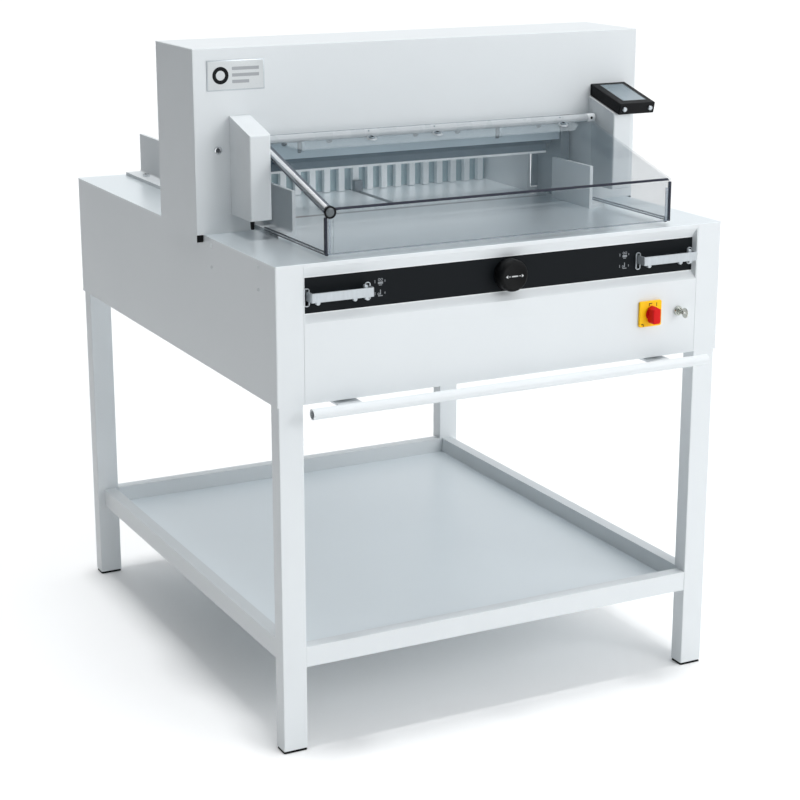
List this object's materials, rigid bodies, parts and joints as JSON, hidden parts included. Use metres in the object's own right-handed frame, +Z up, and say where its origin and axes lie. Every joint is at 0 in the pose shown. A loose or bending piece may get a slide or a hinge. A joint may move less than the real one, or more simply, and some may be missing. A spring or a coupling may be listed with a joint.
{
  "type": "guillotine paper cutter",
  "caption": "Floor-standing guillotine paper cutter: white case on a four-legged stand with shelf, tall cutting head, hinged clear guard, clamp, slanting blade, back gauge and two-hand levers.",
  "frame": {"origin": "on the floor under the middle of the overall width and of the overall length", "axes": "+X to the right of the person who stands in front, +Y to the back, +Z up"},
  "size_m": [0.97, 1.13, 1.2645],
  "materials": {
    "white_paint": "satin powder coat",
    "pan_paint": "satin powder coat",
    "black_paint": "matt",
    "grey_paint": "satin",
    "table_chrome": "polished",
    "cast_grey": "machined",
    "ground_steel": "ground",
    "dark_steel": "blackened",
    "bright_chrome": "polished",
    "silver_lever": "satin",
    "fence_alloy": "anodised",
    "black_plastic": "fine grained",
    "grey_plastic": "smooth",
    "stick_plastic": "smooth",
    "clear_sheet": "clear, glossy",
    "screen_glass": "glossy",
    "plate_print": "smooth",
    "yellow_plastic": "smooth",
    "red_plastic": "smooth"
  },
  "bodies": {
    "base": {"front_legs": "white_paint", "rear_legs": "white_paint", "foot_pads": "black_plastic", "shelf_rails": "white_paint", "shelf_pan": "pan_paint", "bottom_cover": "white_paint", "side_panel_left": "white_paint", "side_panel_right": "white_paint", "front_panel": "white_paint", "control_fascia": "black_paint", "rear_panel": "white_paint", "power_inlet": "black_plastic", "table_plate": "table_chrome", "machine_bed": "cast_grey", "cutting_stick": "stick_plastic", "head_front_cover": "white_paint", "head_shell": "white_paint", "head_back_cover": "white_paint", "side_frame_left": "cast_grey", "side_frame_right": "cast_grey", "cross_beam": "cast_grey", "blade_guides": "ground_steel", "gauge_guide_rods": "bright_chrome", "gauge_motor": "grey_paint", "front_side_guide_left": "white_paint", "front_side_guide_right": "white_paint", "rear_side_gauge_left": "white_paint", "rear_side_gauge_right": "white_paint", "guard_hinge_pins": "ground_steel", "guard_housing_left": "white_paint", "guard_housing_right": "white_paint", "control_pod": "black_plastic", "pod_screen": "screen_glass", "nameplate": "plate_print", "cover_screws": "dark_steel", "lever_bezels": "silver_lever", "main_switch_plate": "yellow_plastic", "key_lock": "bright_chrome", "preclamp_brackets": "white_paint", "blade_drive": "grey_paint", "hydraulic_unit": "grey_paint", "electronics_box": "grey_paint"},
    "guard": {"guard_hinge_tube": "fence_alloy", "guard_hood": "clear_sheet", "guard_arm": "bright_chrome"},
    "knife": {"blade_carrier": "ground_steel", "blade": "ground_steel", "blade_bolts": "dark_steel"},
    "clamp": {"clamp_beam": "ground_steel"},
    "gauge": {"back_gauge": "fence_alloy", "gauge_carriage": "dark_steel"},
    "spindle": {"gauge_spindle": "ground_steel"},
    "knob": {"gauge_knob": "black_plastic"},
    "lever_left": {"cut_lever_left": "silver_lever"},
    "lever_right": {"cut_lever_right": "silver_lever"},
    "switch": {"main_switch_handle": "red_plastic"},
    "key": {"key": "bright_chrome"},
    "button_left": {"pod_button_left": "silver_lever"},
    "button_right": {"pod_button_right": "silver_lever"},
    "preclamp": {"preclamp_bar": "white_paint"}
  },
  "joints": [
    {"name": "guard_hinge", "type": "hinge", "parent": "base", "child": "guard", "pos_m": [0, -0.211, 1.093], "axis": [-1, 0, 0], "range_deg": [0, 75]},
    {"name": "blade_slide", "type": "slide", "parent": "base", "child": "knife", "axis": [-0.1392, 0, -0.9903], "range_m": [0, 0.10775]},
    {"name": "clamp_slide", "type": "slide", "parent": "base", "child": "clamp", "axis": [0, 0, -1], "range_m": [0, 0.087]},
    {"name": "back_gauge_slide", "type": "slide", "parent": "base", "child": "gauge", "axis": [0, 1, 0], "range_m": [-0.155, 0.33]},
    {"name": "spindle_spin", "type": "hinge", "parent": "base", "child": "spindle", "pos_m": [0, 0, 0.89], "axis": [0, 1, 0], "continuous": true},
    {"name": "knob_spin", "type": "hinge", "parent": "base", "child": "knob", "pos_m": [0, -0.52, 0.8605], "axis": [0, 1, 0], "continuous": true},
    {"name": "cut_lever_left_slide", "type": "slide", "parent": "base", "child": "lever_left", "axis": [0, 0, -1], "range_m": [0, 0.008], "stiffness_N_per_m": 400, "springref_m": -0.01},
    {"name": "cut_lever_right_slide", "type": "slide", "parent": "base", "child": "lever_right", "axis": [0, 0, -1], "range_m": [0, 0.008], "stiffness_N_per_m": 400, "springref_m": -0.01},
    {"name": "main_switch", "type": "hinge", "parent": "base", "child": "switch", "pos_m": [0.31, -0.53, 0.755], "axis": [0, 1, 0], "range_deg": [0, 90]},
    {"name": "key_turn", "type": "hinge", "parent": "base", "child": "key", "pos_m": [0.377, -0.51, 0.753], "axis": [0, 1, 0], "range_deg": [0, 90]},
    {"name": "pod_button_left_slide", "type": "slide", "parent": "base", "child": "button_left", "axis": [0, 0.9665, 0.2569], "range_m": [0, 0.002], "stiffness_N_per_m": 400, "springref_m": -0.003},
    {"name": "pod_button_right_slide", "type": "slide", "parent": "base", "child": "button_right", "axis": [0, 0.9665, 0.2569], "range_m": [0, 0.002], "stiffness_N_per_m": 400, "springref_m": -0.003},
    {"name": "preclamp_hinge", "type": "hinge", "parent": "base", "child": "preclamp", "pos_m": [0, -0.41, 0.652], "axis": [1, 0, 0], "range_deg": [0, 8], "stiffness_Nm_per_rad": 12, "springref_deg": -14.32}
  ],
  "couplings": [
    {"joint": "spindle_spin", "follows": "back_gauge_slide", "rad_per_m": 314.16}
  ]
}
